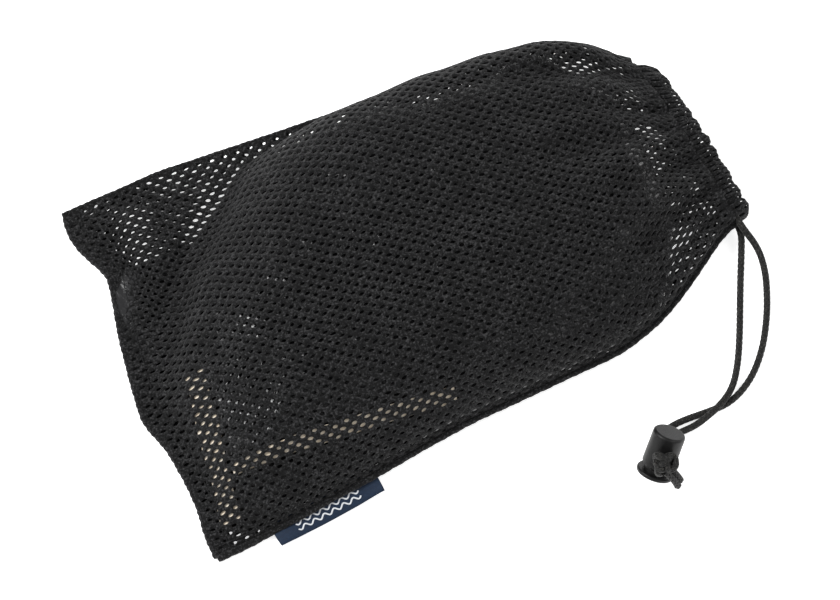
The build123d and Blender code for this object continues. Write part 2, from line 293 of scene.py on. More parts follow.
def knit(flat, seed, wrap=False, sides=HOLE_SIDES, stretch=1.0):
    """Flat perforated cloth: (points u v height, triangles). Holes lie on a centred lattice."""
    rng = np.random.default_rng(seed)
    reach_u = PITCH_U / 4 + PITCH_V**2 / (4 * PITCH_U)
    short_u = PITCH_U / 2 - reach_u
    half_v = PITCH_V / 2
    corner = np.array([(reach_u, 0), (short_u, half_v), (-short_u, half_v), (-reach_u, 0),
                       (-short_u, -half_v), (short_u, -half_v)])
    columns = int(round(flat[0] / PITCH_U)) if wrap else int(flat[0] / PITCH_U) + 2
    rows = int(round(flat[1] / half_v)) if wrap else int(flat[1] / half_v) + 2
    start = 0 if wrap else -1
    i, j = np.meshgrid(np.arange(start, columns), np.arange(start, rows), indexing="ij")
    centre = np.stack([PITCH_U * (i + 0.5 * (j % 2)), half_v * j], -1).reshape(-1, 2)
    corners = centre[:, None] + corner[None]
    if wrap:
        corners %= np.array(flat)
        corners[np.abs(corners - np.array(flat)) < 0.01] = 0
        has_hole = np.ones(len(centre), bool)
    else:
        corners = np.clip(corners, 0, flat)
        has_hole = np.all((centre > HOLE_BORDER) & (centre < np.array(flat) - HOLE_BORDER), axis=1)
    keys = np.round(corners.reshape(-1, 2) * 50).astype(int)
    _, first, index = np.unique(keys, axis=0, return_index=True, return_inverse=True)
    shared = corners.reshape(-1, 2)[first]
    index = index.reshape(-1, 6)

    holes = centre[has_hole]
    angle = (np.arange(sides) + 0.5) * TURN / sides
    grow = rng.uniform(0.86, 1.14, (len(holes), 1))
    tilt = rng.normal(0, 0.12, (len(holes), 1))
    x = HOLE_U * stretch * grow * np.cos(angle)[None]
    y = HOLE_V * stretch * rng.uniform(0.86, 1.14, (len(holes), 1)) * np.sin(angle)[None]
    shift = rng.normal(0, 0.09, (len(holes), 1, 2))
    rim = holes[:, None] + shift + np.stack([x - tilt * y, y + tilt * x], -1)
    template = np.stack([HOLE_U * np.cos(angle), HOLE_V * np.sin(angle)], 1)
    fill = ring_fill(corner, template)

    n_corner, n_rim = len(shared), len(holes) * sides
    solid = ~has_hole
    middle = corners[solid].mean(1)
    n_middle = len(middle)
    points = np.concatenate([shared, rim.reshape(-1, 2), middle])
    rim_index = n_corner + np.arange(n_rim).reshape(-1, sides)
    local = np.concatenate([index[has_hole], rim_index], 1)
    top = local[:, fill].reshape(-1, 3)
    fans = []
    for k in range(6):
        fans.append(np.stack([n_corner + n_rim + np.arange(n_middle), index[solid][:, k],
                              index[solid][:, (k + 1) % 6]], 1))
    top = np.concatenate([top, *fans])
    plane = points[top]
    if not wrap:
        a, b = plane[:, 1] - plane[:, 0], plane[:, 2] - plane[:, 0]
        top = top[np.abs(a[:, 0] * b[:, 1] - a[:, 1] * b[:, 0]) > 1e-3]
    top = top[(top[:, 0] != top[:, 1]) & (top[:, 1] != top[:, 2]) & (top[:, 2] != top[:, 0])]

    count = len(points)
    height = np.concatenate([np.full(n_corner, CREST), np.full(n_rim, RIM), np.full(n_middle, CREST)])
    step = (np.arange(sides) + 1) % sides
    walls = np.stack([rim_index, rim_index[:, step], rim_index[:, step] + count, rim_index + count], -1)
    walls = walls.reshape(-1, 4)
    walls = np.concatenate([walls[:, [0, 1, 2]], walls[:, [0, 2, 3]]])
    faces = [top, top[:, ::-1] + count, walls]
    edges = np.concatenate([top[:, [0, 1]], top[:, [1, 2]], top[:, [2, 0]]])
    ordered = np.sort(edges, 1)
    _, spot, uses = np.unique(ordered, axis=0, return_index=True, return_counts=True)
    rim_edge = edges[spot[uses == 1]]
    rim_edge = rim_edge[np.all((rim_edge < n_corner), 1)]
    if len(rim_edge):
        a, b = rim_edge[:, 0], rim_edge[:, 1]
        faces += [np.stack([b, a, a + count], 1), np.stack([b, a + count, b + count], 1)]
    u = np.tile(points[:, 0], 2)
    v = np.tile(points[:, 1], 2)
    return u, v, np.concatenate([height, -height]), np.concatenate(faces)


def cloth_piece(name, look, flat, seed, material, wrap=False, sides=HOLE_SIDES, stretch=1.0, flip=False):
    """Perforated cloth laid on a surface."""
    u, v, height, faces = knit(flat, seed, wrap, sides, stretch)
    points = look(u, v, -height if flip else height)
    points[:, 2] = np.maximum(points[:, 2], FLOOR_GAP)
    uv = np.stack([u / flat[0], v / flat[1]], 1)
    return mesh_piece(name, to_frame(points), faces[:, ::-1] if flip else faces, material, uv=uv)


# -------- the bag's surfaces

def outline_at(x):
    """The smoothed section values at each x."""
    fine = np.arange(-130.0, 150.0, 1.0)
    table = [blur(np.interp(fine, SECTIONS[:, 0], SECTIONS[:, k]), 5.0) for k in range(1, 6)]
    return [np.interp(x, fine, column) for column in table]


def out_of_loop(line):
    """Unit vectors that point out of a closed loop in its own plane."""
    way = np.roll(line, -1, 0) - np.roll(line, 1, 0)
    way /= np.linalg.norm(way, axis=1, keepdims=True)
    return np.stack([way[:, 1], -way[:, 0]], 1)


def hem_halves(outwards):
    """The hem loop's lower and upper half in the mouth's plane, both from the label's side."""
    loop = np.array(HEM_LOOP + HEM_LOOP[:1])
    corner_share = np.linalg.norm(np.diff(loop, axis=0), axis=1).cumsum()
    split = corner_share[HEM_FAR_CORNER - 1] / corner_share[-1]
    count = 400
    line = blur(resample(loop, count + 1)[:-1], 5.0, wrap=True)
    line = line + outwards * out_of_loop(line)
    cut = int(split * count)
    lower = line[:cut + 1]
    upper = np.concatenate([line[cut:], line[:1]])[::-1]
    return lower, upper


def puffs(t, upper):
    """How far the gathers stand out along the mouth: round crests and sharp valleys, 0 at the ends."""
    waves = 10.0 if upper else 9.0
    shift = 0.22 * np.sin(TURN * 1.7 * t + 0.6) + 0.12 * np.sin(TURN * 4.1 * t + 2.0)
    crest = np.abs(np.sin(math.pi * (waves * t + shift))) ** 0.75
    size = 0.78 + 0.26 * np.sin(TURN * 2.3 * t + (1.1 if upper else 3.0)) + 0.2 * np.sin(TURN * 5.3 * t)
    return size * (1.35 * crest - 0.55) * ramp(np.minimum(t, 1 - t), 0, 0.06)


def wide_folds(t, x):
    """Broad folds that run back from the mouth and fade out along the bag."""
    drift = (MOUTH_X - x) / 60
    fold = np.sin(TURN * (4.6 * t + 0.25 * drift) + 0.8) + 0.6 * np.sin(TURN * (7.3 * t - 0.3 * drift) + 2.2)
    return fold * ramp(x, 58, 112) * (1 - 0.55 * ramp(x, 118, 136))


def crease(x, y, points, width, depth):
    """A long soft crease through points, deepest in its middle."""
    points = np.array(points, float)
    lengths = np.linalg.norm(np.diff(points, axis=0), axis=1)
    total = lengths.sum()
    best = np.full(x.shape, 1e9)
    share = np.zeros(x.shape)
    run = 0.0
    for (ax, ay), (bx, by), length in zip(points, points[1:], lengths):
        t = np.clip(((x - ax) * (bx - ax) + (y - ay) * (by - ay)) / length**2, 0, 1)
        d = np.hypot(x - ax - t * (bx - ax), y - ay - t * (by - ay))
        nearer = d < best
        share = np.where(nearer, (run + t * length) / total, share)
        best = np.minimum(best, d)
        run += length
    return depth * np.exp(-(best / width) ** 2) * np.sin(math.pi * np.clip(share, 0.03, 0.97)) ** 0.6


def wrinkles(x, y, t):
    """Loose cloth's height changes over the upper layer, mm."""
    rise = 1.5 * noise(x * 0.8 + y * 0.35, y, 42, 3) + 0.8 * noise(x, y - 0.5 * x, 21, 5)
    rise += 0.32 * noise(x + y, y, 9, 8)
    rise += crease(x, y, [(-32, 86), (-60, 60), (-84, 36), (-104, 6)], 5.0, -3.0)
    rise += crease(x, y, [(-44, 92), (-72, 68), (-96, 44), (-112, 20)], 6.0, 1.6)
    rise += crease(x, y, [(-104, -20), (-92, 8), (-70, 30)], 5.0, 1.3)
    rise += crease(x, y, [(-112, -66), (-84, -58), (-50, -60)], 6.0, -1.2)
    rise += crease(x, y, [(-60, -66), (-20, -58), (30, -54)], 5.0, -1.1)
    rise += crease(x, y, [(132, -14), (112, -24), (86, -38), (56, -46)], 6.5, -4.2)
    rise += crease(x, y, [(130, 0), (108, -8), (82, -20)], 6.0, 1.8)
    rise += crease(x, y, [(128, 24), (100, 30), (60, 34)], 7.0, 1.5)
    rise += crease(x, y, [(120, 50), (90, 62), (50, 68)], 5.0, -1.6)
    rise += crease(x, y, [(10, 20), (50, 6), (84, 4)], 9.0, -1.2)
    inside = ramp(np.minimum(t, 1 - t), 0, 0.1) * ramp(x, -119, -100)
    return rise * inside


def upper_section(x, values, count):
    """One section of the upper layer from its lower edge over the top to its upper edge."""
    y_low, y_flap, y_high, height, edge = values
    half = (y_flap - y_low) / 2
    turn = np.linspace(math.pi, 0, 90)
    share = np.cos(turn)
    full = ramp(x, -62, 20)
    far_side = ramp(share, -0.3, 0.3)
    square = 2.4 + 0.5 * full + 0.9 * far_side * full
    power = 0.62 - 0.08 * full + 0.3 * far_side * (1 - full) - 0.26 * far_side * full
    lift = np.maximum(1 - np.abs(share) ** square, 0) ** power
    y = (y_low + y_flap) / 2 + half * share
    z = edge + 0.4 + (height - edge - 0.9) * lift
    flap = np.linspace(y_flap, y_high, 30)[1:]
    line = np.stack([np.append(y, flap), np.append(z, np.full(29, edge + 0.4))], 1)
    line = resample(line, count)
    return blur(line, 3.0)


def lower_corners(values):
    """The lower layer's section before it is smoothed: flat on the floor but for its edges."""
    y_low, _, y_high, _, edge = values
    return np.array([(y_low, edge), (y_low + 3, 0.6 + edge * 0.35), (y_low + 12, 0.6),
                     (y_high - 12, 0.6), (y_high - 3, 0.6 + edge * 0.35), (y_high, edge)])


def lower_section(values, count):
    return blur(resample(lower_corners(values), count), 3.0)


def lean(x):
    """How much a section slants at x, so that the mouth stands at its own angle."""
    return MOUTH_SLANT * np.clip((x - LEAN_START) / (MOUTH_X - LEAN_START), 0, None)


def layer(upper):
    """A surface grid of the upper or lower layer, from the closed end to the mouth."""
    count = 420
    xs = np.linspace(CLOSED_X, MOUTH_X + 2.5, 330)
    values = np.array(outline_at(xs)).T
    half = resample(hem_halves(HEM_OFFSET)[1 if upper else 0], count)
    far_corner = np.array([half[-1, 0], half[:, 1].max() if upper else half[:, 1].min()])
    half_share = (half - half[0]) / (far_corner - half[0])
    t = np.linspace(0, 1, count)
    grid = np.zeros((len(xs), count, 3))
    for row, (x, value) in enumerate(zip(xs, values)):
        blend = ramp(x, 104, 133)
        y_low, _, y_high, height, edge = value
        far_level = height if upper else 0.7
        hem_like = np.array([y_low, edge]) + half_share * np.array([y_high - y_low, far_level - edge])
        line = upper_section(x, value, count) if upper else lower_section(value, count)
        line = line * (1 - blend) + hem_like * blend
        shift = np.interp(line[:, 0], CLOSED_EDGE[:, 0], CLOSED_EDGE[:, 1]) - CLOSED_X
        near_end = 1 - ramp(x, CLOSED_X, CLOSED_X + EDGE_REACH)
        grid[row, :, 0] = x - lean(x) * line[:, 0] + shift * near_end
        grid[row, :, 1:] = line
    grid = blur(grid, 1.2)
    up = normals(grid)
    if up[len(xs) // 2, count // 2, 2] < 0:
        up = -up
    if not upper:
        up = -up
    x, y = grid[..., 0], grid[..., 1]
    across = t[None] * np.ones_like(x)
    along = xs[:, None] * np.ones_like(x)
    gather = puffs(across, upper) * 1.9 * ramp(along, 96, 134) ** 1.4
    broad = wide_folds(across, along) * (1.5 if upper else 0.5)
    broad *= ramp(np.minimum(across, 1 - across), 0, 0.08)
    rise = gather + broad + (wrinkles(x, y, across) if upper else 0.25 * noise(x, y, 24, 14))
    grid = grid + up * rise[..., None]
    grid[..., 2] = np.maximum(grid[..., 2], LOWEST)
    return grid


def along_lengths(grid):
    """Mean distance from the closed end at each row, mm."""
    steps = np.linalg.norm(np.diff(grid[:, 60:-60:20], axis=0), axis=2).mean(1)
    return np.concatenate([[0], steps.cumsum()])


def even_rows(grid):
    """The same surface with rows spaced evenly by the cloth's own length, and that length."""
    far = along_lengths(grid)
    at = np.linspace(0, far[-1], len(grid))
    flat = grid.reshape(len(grid), -1)
    rows = np.stack([np.interp(at, far, flat[:, k]) for k in range(flat.shape[1])], 1)
    return rows.reshape(grid.shape), far[-1]


def hem_grid():
    """The folded hem as a tube round the mouth: rows go round the fold, columns round the mouth."""
    lower, upper = hem_halves(0.0)
    each = 360
    lower, upper = resample(lower, each), resample(upper, each)
    line = np.concatenate([lower[:-1], upper[:0:-1]])
    t = np.linspace(0, 1, each)
    stand = np.concatenate([puffs(t, False)[:-1], puffs(t, True)[:0:-1]])
    out = out_of_loop(line)
    fold = np.linspace(0, TURN, 64, endpoint=False)
    a = np.sign(np.cos(fold)) * np.abs(np.cos(fold)) ** 0.85 * (HEM_WIDTH / 2 + 0.3)
    b = np.sign(np.sin(fold)) * np.abs(np.sin(fold)) ** 0.8
    swell = 2.45 + 1.35 * stand
    outer = np.where(a > 0, 1.0, 0.0)[:, None] * (0.9 * stand - 0.1)[None]
    uneven = 0.25 * noise(np.arange(len(line))[None] * 0.35, fold[:, None] * 4, 5, 21)
    deep = a[:, None] + outer + uneven
    flare = 1 + HEM_FLARE * (HEM_WIDTH / 2 - a[:, None]) * ramp(line[None, :, 0], 0, 30)
    u = line[None, :, 0] * flare + out[None, :, 0] * b[:, None] * swell[None]
    w = line[None, :, 1] + out[None, :, 1] * b[:, None] * swell[None]
    normal = np.array([1, MOUTH_SLANT, 0]) / math.hypot(1, MOUTH_SLANT)
    sideways = np.array([-MOUTH_SLANT, 1, 0]) / math.hypot(1, MOUTH_SLANT)
    grid = np.array([MOUTH_X, 0, 0]) + normal * (HEM_WIDTH / 2 + deep)[..., None]
    grid = grid + sideways * u[..., None] + np.array([0, 0, 1.0]) * w[..., None]
    grid[..., 2] = np.maximum(grid[..., 2], LOWEST)
    return grid


# -------- strips, tubes and threads

def tube_points(line, radius, tall=1.0):
    """Rings of points round a line, mm: radius is (points, sides), tall stretches each ring upwards."""
    way = np.gradient(line, axis=0)
    way /= np.linalg.norm(way, axis=1, keepdims=True)
    side = np.zeros_like(line)
    start = np.array([0.0, 0.0, 1.0])
    side[0] = start - way[0] * (way[0] @ start)
    side[0] /= np.linalg.norm(side[0])
    for i in range(1, len(line)):
        across = side[i - 1] - way[i] * (way[i] @ side[i - 1])
        side[i] = across / np.linalg.norm(across)
    other = np.cross(way, side)
    angle = np.arange(radius.shape[1]) * TURN / radius.shape[1]
    upwards = side[:, None] * (np.cos(angle) * tall)[None, :, None]
    rings = upwards + other[:, None] * np.sin(angle)[None, :, None]
    return line[:, None] + rings * radius[..., None]


def tube_faces(rows, sides):
    """Triangles of a capped tube whose two end points come after its rings."""
    quads = grid_faces(rows, sides, wrap_columns=True)
    ring = np.arange(sides)
    turned = (ring + 1) % sides
    first, last = rows * sides, rows * sides + 1
    cap = np.stack([np.full(sides, first), turned, ring], 1)
    end = np.stack([np.full(sides, last), (rows - 1) * sides + ring, (rows - 1) * sides + turned], 1)
    return np.concatenate([quads[:, [0, 1, 2]], quads[:, [0, 2, 3]], cap, end])[:, ::-1]


def join(parts):
    """Several (points, triangles) as one."""
    points, faces, start = [], [], 0
    for vertices, triangles in parts:
        points.append(vertices)
        faces.append(triangles + start)
        start += len(vertices)
    return np.concatenate(points), np.concatenate(faces)


def tube(line, radius, tall=1.0):
    """A capped tube round a line, as (points, triangles)."""
    rings = tube_points(line, radius, tall)
    points = np.concatenate([rings.reshape(-1, 3), line[:1], line[-1:]])
    return points, tube_faces(len(line), radius.shape[1])


def slab(top, bottom):
    """A closed slab between two grids of the same shape."""
    rows, columns = top.shape[:2]
    quads = grid_faces(rows, columns)
    count = rows * columns
    index = np.arange(count).reshape(rows, columns)
    border = np.concatenate([index[0, :-1], index[:-1, -1], index[-1, :0:-1], index[:0:-1, 0]])
    following = np.roll(border, -1)
    walls = np.stack([border, following, following + count, border + count], 1)
    quads = np.concatenate([quads, quads[:, ::-1] + count, walls])
    points = np.concatenate([top.reshape(-1, 3), bottom.reshape(-1, 3)])
    return points, quads


def braid(line, radius, sides=CORD_SIDES, strands=5, pitch=2.4):
    """A braided cord's surface round a line: two sets of crossing yarns."""
    far = distances(line)[:, None]
    angle = (np.arange(sides) * TURN / sides)[None]
    left = np.sin(strands * angle + TURN * far / pitch)
    right = np.sin(strands * angle - TURN * far / pitch)
    surface = radius * (0.93 + 0.13 * np.maximum(left, right))
    return tube(line, surface)


def stitch_row(points, ups, thread=0.21, length=2.3, pitch=3.2):
    """Separate short arched threads along a line of points lying on the cloth."""
    far = distances(points)
    parts = []
    for start in np.arange(0.6, far[-1] - length, pitch):
        at = start + np.linspace(0, length, 7)
        line = np.stack([np.interp(at, far, points[:, k]) for k in range(3)], 1)
        up = np.stack([np.interp(at, far, ups[:, k]) for k in range(3)], 1)
        arch = np.sin(np.linspace(0.12, 0.88, 7) * math.pi) * 0.42 - 0.12
        parts.append(tube(line + up * arch[:, None], np.full((7, 8), thread)))
    return join(parts)


# -------- materials

class Paint:
    """A new material, and the nodes that its pattern needs."""

    def __init__(self, name):
        self.material = bpy.data.materials.new(name)
        self.material.use_nodes = True
        self.nodes, self.links = self.material.node_tree.nodes, self.material.node_tree.links
        self.shader = self.nodes["Principled BSDF"]
        self.where = self.nodes.new("ShaderNodeTexCoord")

    def noise(self, scale, detail, rough):
        texture = self.nodes.new("ShaderNodeTexNoise")
        texture.inputs["Scale"].default_value = scale
        texture.inputs["Detail"].default_value = detail
        texture.inputs["Roughness"].default_value = rough
        self.links.new(self.where.outputs["Object"], texture.inputs["Vector"])
        return texture.outputs["Fac"]

    def mix(self, a, b, factor):
        node = self.nodes.new("ShaderNodeMix")
        node.data_type = "FLOAT"
        node.inputs["Factor"].default_value = factor
        self.links.new(a, node.inputs["A"])
        self.links.new(b, node.inputs["B"])
        return node.outputs["Result"]

    def colour(self, value, *stops):
        """The base colour, from a value, by stops of (place, colour)."""
        node = self.nodes.new("ShaderNodeValToRGB")
        while len(node.color_ramp.elements) < len(stops):
            node.color_ramp.elements.new(0.5)
        for element, (place, colour) in zip(node.color_ramp.elements, stops):
            element.position = place
            element.color = (*colour, 1)
        self.links.new(value, node.inputs["Fac"])
        self.links.new(node.outputs["Color"], self.shader.inputs["Base Color"])

    def bump(self, height, strength, distance):
        node = self.nodes.new("ShaderNodeBump")
        node.inputs["Strength"].default_value = strength
        node.inputs["Distance"].default_value = distance
        self.links.new(height, node.inputs["Height"])
        self.links.new(node.outputs["Normal"], self.shader.inputs["Normal"])

    def settings(self, values):
        """Constants on the shader's own sockets."""
        for socket, value in values.items():
            self.shader.inputs[socket].default_value = value


def knit_material():
    """Black polyester knit: fine looped yarn, slightly uneven in colour, with a soft sheen."""
    paint = Paint("mesh_cloth")
    yarn = paint.noise(1150.0, 2.0, 0.6)
    patch = paint.noise(60.0, 3.0, 0.5)
    paint.colour(paint.mix(yarn, patch, 0.1), (0.40, (0.0008, 0.0008, 0.001)),
                 (0.52, (0.0045, 0.0045, 0.005)), (0.66, (0.048, 0.048, 0.050)))
    paint.settings({"Roughness": 0.72, "Sheen Weight": 0.06, "Sheen Roughness": 0.45,
                    "Specular IOR Level": 0.2})
    paint.bump(paint.noise(1300.0, 4.0, 0.75), 1.0, 0.0007)
    return paint.material


def cord_material():
    """Black braided polyester with bright fibre flecks."""
    paint = Paint("cord")
    fibre = paint.noise(1700.0, 3.0, 0.6)
    paint.colour(fibre, (0.42, (0.0015, 0.0015, 0.0015)), (0.55, (0.008, 0.0078, 0.0072)),
                 (0.68, (0.060, 0.057, 0.050)))
    paint.settings({"Roughness": 0.62, "Sheen Weight": 0.08, "Sheen Roughness": 0.4,
                    "Specular IOR Level": 0.3})
    paint.bump(fibre, 0.7, 0.0003)
    return paint.material


def thread_material():
    """Black sewing thread, lightly twisted."""
    paint = Paint("thread")
    twist = paint.noise(5200.0, 2.0, 0.6)
    paint.colour(twist, (0.3, (0.003, 0.003, 0.0035)), (0.75, (0.016, 0.016, 0.017)))
    paint.settings({"Roughness": 0.6, "Specular IOR Level": 0.25})
    paint.bump(twist, 0.5, 0.0002)
    return paint.material


def film_material():
    """Dark glossy film round the contents, crinkled."""
    paint = Paint("dark_film")
    crinkle = paint.noise(130.0, 5.0, 0.55)
    paint.colour(crinkle, (0.3, (0.004, 0.004, 0.005)), (0.8, (0.012, 0.012, 0.013)))
    paint.settings({"Roughness": 0.24, "Coat Weight": 0.4, "Coat Roughness": 0.12})
    paint.bump(crinkle, 0.6, 0.002)
    return paint.material


def card_material():
    """Pale uncoated card with fibres and a slightly warm tone."""
    paint = Paint("pale_card")
    fibre = paint.noise(420.0, 6.0, 0.65)
    paint.colour(fibre, (0.3, (0.66, 0.53, 0.38)), (0.5, (0.90, 0.78, 0.62)), (0.75, (0.97, 0.91, 0.80)))
    paint.settings({"Roughness": 0.85})
    paint.bump(fibre, 0.4, 0.0004)
    return paint.material


def label_material():
    """Navy woven satin: fine ribs across the tape and a broad soft shine."""
    paint = Paint("label_cloth")
    ribs = paint.nodes.new("ShaderNodeTexWave")
    ribs.wave_type = "BANDS"
    ribs.bands_direction = "X"
    ribs.inputs["Scale"].default_value = 75.0
    ribs.inputs["Distortion"].default_value = 0.6
    paint.links.new(paint.where.outputs["UV"], ribs.inputs["Vector"])
    tone = paint.mix(ribs.outputs["Fac"], paint.noise(900.0, 4.0, 0.6), 0.6)
    paint.colour(tone, (0.25, (0.003, 0.010, 0.026)), (0.6, (0.006, 0.020, 0.050)),
                 (0.9, (0.012, 0.034, 0.078)))
    paint.settings({"Roughness": 0.5, "Sheen Weight": 0.05, "Specular IOR Level": 0.25})
    paint.bump(tone, 0.5, 0.00025)
    return paint.material


def mark_material():
    """White weft threads of the label's generic pattern."""
    paint = Paint("label_mark")
    thread = paint.noise(3000.0, 3.0, 0.6)
    paint.colour(thread, (0.3, (0.50, 0.52, 0.56)), (0.7, (0.82, 0.84, 0.87)))
    paint.settings({"Roughness": 0.5})
    paint.bump(thread, 0.5, 0.0002)
    return paint.material


def plastic_material():
    """Black moulded plastic with a fine spark-eroded grain and rubbed high spots."""
    paint = Paint("lock_plastic")
    rubbed = paint.noise(260.0, 4.0, 0.6)
    paint.colour(rubbed, (0.35, (0.004, 0.004, 0.0042)), (0.7, (0.011, 0.0107, 0.0106)))
    rough = paint.nodes.new("ShaderNodeMapRange")
    rough.inputs["To Min"].default_value = 0.34
    rough.inputs["To Max"].default_value = 0.52
    paint.links.new(rubbed, rough.inputs["Value"])
    paint.links.new(rough.outputs["Result"], paint.shader.inputs["Roughness"])
    paint.settings({"Specular IOR Level": 0.3})
    paint.bump(paint.noise(3600.0, 3.0, 0.5), 0.25, 0.0002)
    return paint.material


def steel_material():
    """Bright drawn spring wire."""
    paint = Paint("spring_steel")
    drawn = paint.noise(1500.0, 3.0, 0.5)
    paint.colour(drawn, (0.3, (0.42, 0.42, 0.43)), (0.7, (0.60, 0.60, 0.62)))
    paint.settings({"Metallic": 1.0, "Roughness": 0.3})
    paint.bump(drawn, 0.2, 0.0001)
    return paint.material


def floor_material():
    """Plain pale floor, lifted to white by a little light of its own."""
    paint = Paint("floor")
    paint.colour(paint.noise(3.0, 2.0, 0.4), (0.2, (0.93, 0.93, 0.93)), (0.8, (0.96, 0.96, 0.96)))
    paint.settings({"Roughness": 0.9, "Emission Color": (1, 1, 1, 1), "Emission Strength": 0.7})
    return paint.material


# -------- camera, light and floor

def add_camera():
    data = bpy.data.cameras.new("camera")
    data.lens = SENSOR * CAMERA_DISTANCE / CAMERA_WIDTH
    data.sensor_width = SENSOR
    data.clip_end = 20
    camera = add_object("camera", data)
    azimuth, elevation = math.radians(CAMERA_AZIMUTH), math.radians(CAMERA_ELEVATION)
    back = Vector((math.sin(azimuth) * math.cos(elevation), -math.cos(azimuth) * math.cos(elevation),
                   math.sin(elevation)))
    camera.location = Vector(to_frame(CAMERA_TARGET)) + back * CAMERA_DISTANCE
    camera.rotation_mode = "QUATERNION"
    camera.rotation_quaternion = (-back).to_track_quat("-Z", "Y")
    bpy.context.scene.camera = camera


def add_light(name, place, size, power):
    data = bpy.data.lights.new(name, "AREA")
    data.shape = "RECTANGLE"
    data.size, data.size_y = size
    data.energy = power
    light = add_object(name, data)
    light.location = place
    light.rotation_mode = "QUATERNION"
    light.rotation_quaternion = (-Vector(place)).to_track_quat("-Z", "Y")


def add_studio():
    """White surroundings, two soft lights and the floor."""
    bpy.context.scene.view_settings.view_transform = "Standard"
    world = bpy.data.worlds.new("studio")
    world.use_nodes = True
    world.node_tree.nodes["Background"].inputs["Color"].default_value = (1, 1, 1, 1)
    world.node_tree.nodes["Background"].inputs["Strength"].default_value = 0.42
    bpy.context.scene.world = world
    add_light("key", (-0.8, 0.5, 1.2), (0.7, 0.7), 22)
    add_light("fill", (0.9, -0.5, 1.0), (1.2, 0.8), 6)
    mesh = bpy.data.meshes.new("floor")
    side = 6.0
    corners = [(-side, -side, 0), (side, -side, 0), (side, side, 0), (-side, side, 0)]
    mesh.from_pydata(corners, [], [(0, 1, 2, 3)])
    mesh.materials.append(floor_material())
    add_object("floor", mesh)


# -------- cords

HEM_EXIT_A = (143.673, -26.468, 4.4)
HEM_EXIT_B = (143.673, -26.468, 10.2)
LEG_A = [
    HEM_EXIT_A, (144.213, -30.412, 4.789), (140.1, -39.4, 4.4), (135.6, -48.6, 1.9), (130.4, -59.6, 1.45),
    (124.9, -71.5, 1.5), (118.8, -83.3, 1.45), (112.3, -92.8, 2.9), (105.5, -98.1, 4.5), (98.0, -101.2, 4.5),
    (90.6, -102.8, 2.6), (84.2, -102.7, 1.6), (78.7, -103.1, 2.4), (75.429, -104.998, 4.179),
    in_lock(-1.6, -10.5, -1.7), in_lock(-1.6, 9.0, -1.7),
]
LEG_B = [
    HEM_EXIT_B, (144.199, -30.310, 9.219), (147.3, -40.6, 5.9), (146.2, -50.6, 3.1), (142.7, -60.2, 1.55),
    (138.0, -70.2, 1.45), (130.3, -82.6, 1.5), (120.3, -92.9, 1.45), (108.3, -99.0, 1.5), (96.2, -98.7, 1.45),
    (87.2, -98.2, 1.6), (80.4, -98.8, 1.7), (75.6, -100.7, 2.9), (72.948, -103.081, 4.820),
    in_lock(1.6, -10.5, -1.7), in_lock(1.6, 9.0, -1.7),
]
KNOT_PLACE = (-1.0, 11.2, 1.6)


def spline_line(name, route, step=0.25):
    """Evenly spaced points, mm in drawing coordinates, along the route's NURBS spline."""
    curve = bpy.data.curves.new(name, "CURVE")
    curve.dimensions = "3D"
    curve.resolution_u = 24
    spline = curve.splines.new("NURBS")
    spline.points.add(len(route) - 1)
    for point, place in zip(spline.points, to_frame(np.array(route))):
        point.co = (*place, 1)
    spline.order_u = 3
    spline.use_endpoint_u = True
    holder = add_object(name, curve)
    drawn = holder.evaluated_get(bpy.context.evaluated_depsgraph_get())
    mesh = bpy.data.meshes.new_from_object(drawn)
    line = np.array([v.co for v in mesh.vertices]) / MM + CENTRE
    bpy.data.objects.remove(holder)
    bpy.data.meshes.remove(mesh)
    bpy.data.curves.remove(curve)
    length = np.linalg.norm(np.diff(line, axis=0), axis=1).sum()
    return resample(line, int(length / step))


def cord_leg(name, route, node, material):
    """One free leg of the drawcord, and its middle line in the row frame."""
    line = spline_line(name, route)
    points, faces = braid(line, CORD_RADIUS)
    piece = mesh_piece(name, to_frame(points), faces, material)
    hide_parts(node)
    return piece, to_frame(line[::4])


def knot_strand(turn, size, along):
    """A closed overhand loop in the knot, in the cord lock's axes."""
    t = np.linspace(0, TURN, 150)
    x = (np.sin(t + turn) + 2 * np.sin(2 * t + turn)) / 3 * size
    z = (np.cos(t + turn) - 2 * np.cos(2 * t + turn)) / 3 * size
    y = -np.sin(3 * t) * along
    base = in_lock(*KNOT_PLACE)
    return base + LOCK_SIDE * x[:, None] + CORD_WAY * y[:, None] + LOCK_AXIS * z[:, None]


def add_knot(material):
    parts = [braid(knot_strand(0.0, 4.7, 2.3), 1.45), braid(knot_strand(1.1, 3.7, 3.1), 1.45)]
    points, faces = join(parts)
    piece = mesh_piece("overhand_knot", to_frame(points), faces, material)
    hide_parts("cord_knot")
    return piece


